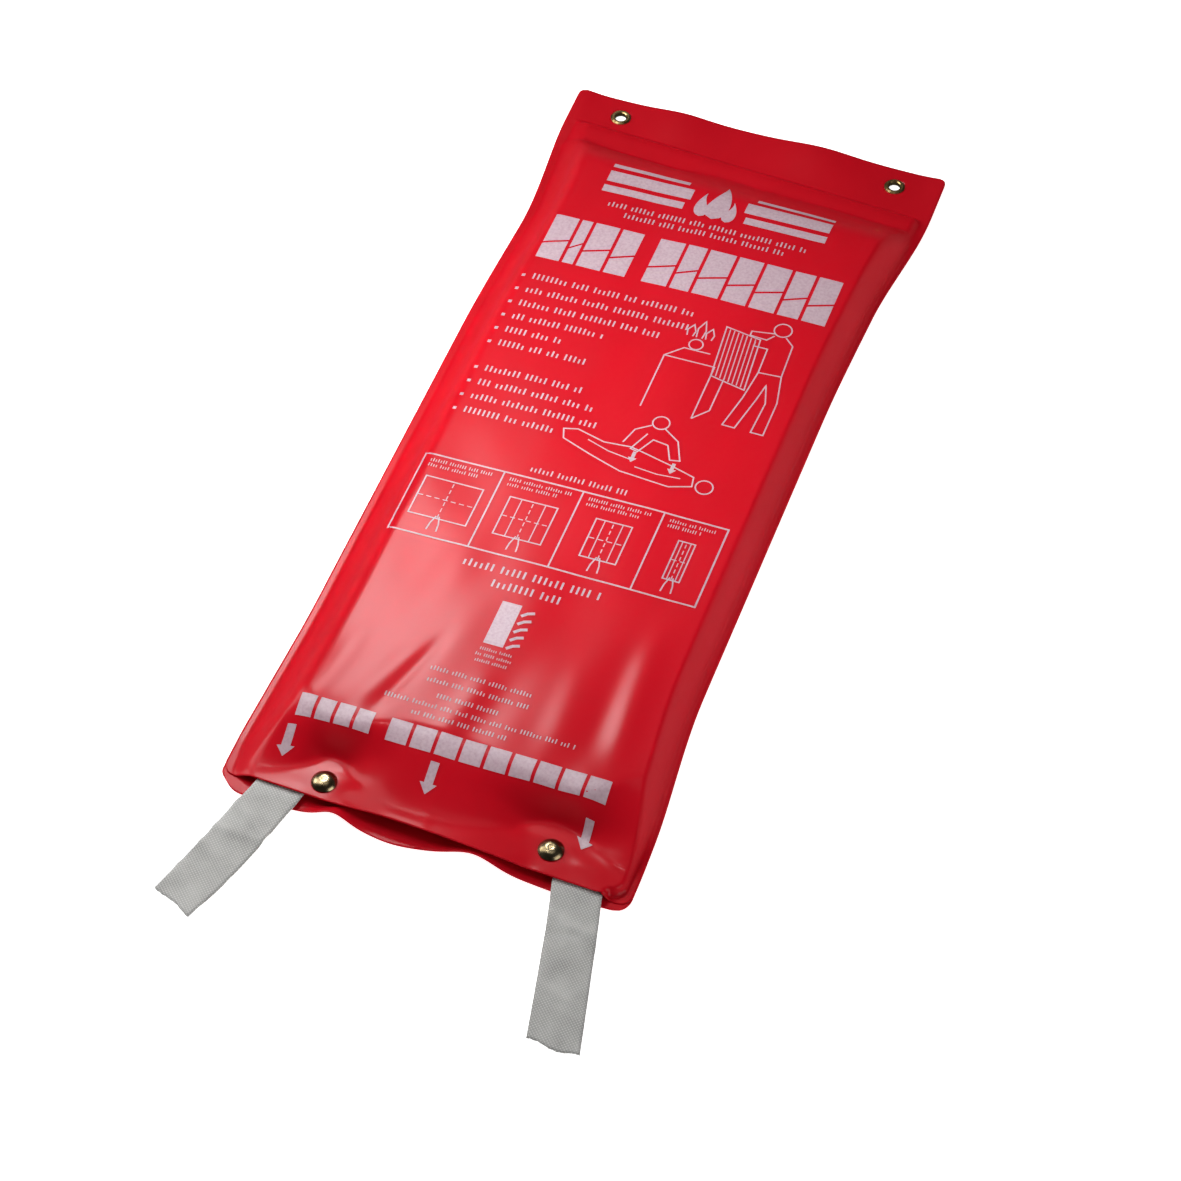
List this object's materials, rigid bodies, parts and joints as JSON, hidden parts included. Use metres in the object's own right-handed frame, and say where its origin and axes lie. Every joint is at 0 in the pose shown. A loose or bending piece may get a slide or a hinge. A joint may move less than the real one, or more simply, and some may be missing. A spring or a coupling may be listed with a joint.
{
  "type": "fire blanket",
  "caption": "Folded glass-fibre fire blanket in a soft red vinyl wall pouch, with a header to hang it by, press studs at the mouth and pull tapes.",
  "frame": {"origin": "on the underside of the back sheet, on the centre line, midway along the pouch", "axes": "+Z out of the front of the pouch, +Y towards the header with the eyelets, -Y towards the mouth and the pull tapes, +X to the right seen from the front"},
  "size_m": [0.2158, 0.5866, 0.0243],
  "materials": {
    "red_vinyl": "glossy soft vinyl",
    "eyelet_brass": "lacquered brass",
    "snap_metal": "polished nickel with a warm tint",
    "glass_cloth": "white woven glass fibre",
    "woven_tape": "grey woven tape",
    "thread": "sewing thread"
  },
  "bodies": {
    "pouch": {"back_panel": "red_vinyl", "header_band": "red_vinyl", "front_panel": "red_vinyl", "left_side_panel": "red_vinyl", "right_side_panel": "red_vinyl", "left_eyelet": "eyelet_brass", "right_eyelet": "eyelet_brass", "left_eyelet_washer": "eyelet_brass", "right_eyelet_washer": "eyelet_brass", "left_snap_stud": "snap_metal", "right_snap_stud": "snap_metal", "left_snap_post": "snap_metal", "right_snap_post": "snap_metal"},
    "lip": {"front_lip": "red_vinyl", "left_snap_cap": "snap_metal", "right_snap_cap": "snap_metal", "left_snap_socket": "snap_metal", "right_snap_socket": "snap_metal"},
    "blanket": {"folded_blanket": "glass_cloth", "left_pull_tape": "woven_tape", "right_pull_tape": "woven_tape", "left_tape_stitching": "thread", "right_tape_stitching": "thread"},
    "left_tab": {"left_tape_tab": "woven_tape"},
    "right_tab": {"right_tape_tab": "woven_tape"}
  },
  "joints": [
    {"name": "blanket_pull", "type": "slide", "parent": "pouch", "child": "blanket", "axis": [0, -1, 0], "range_m": [0, 0.46]},
    {"name": "mouth_lip", "type": "hinge", "parent": "pouch", "child": "lip", "pos_m": [0, -0.129, 0.02405], "axis": [-1, 0, 0], "range_deg": [0, 35]},
    {"name": "left_tab_lift", "type": "hinge", "parent": "blanket", "child": "left_tab", "pos_m": [-0.0749, -0.254, 0.0045], "axis": [-1, 0, 0], "range_deg": [0, 80]},
    {"name": "right_tab_lift", "type": "hinge", "parent": "blanket", "child": "right_tab", "pos_m": [0.0749, -0.254, 0.0045], "axis": [-1, 0, 0], "range_deg": [0, 80]}
  ],
  "couplings": [
    {"joint": "mouth_lip", "follows": "blanket_pull", "rad_per_m": 1.309}
  ]
}
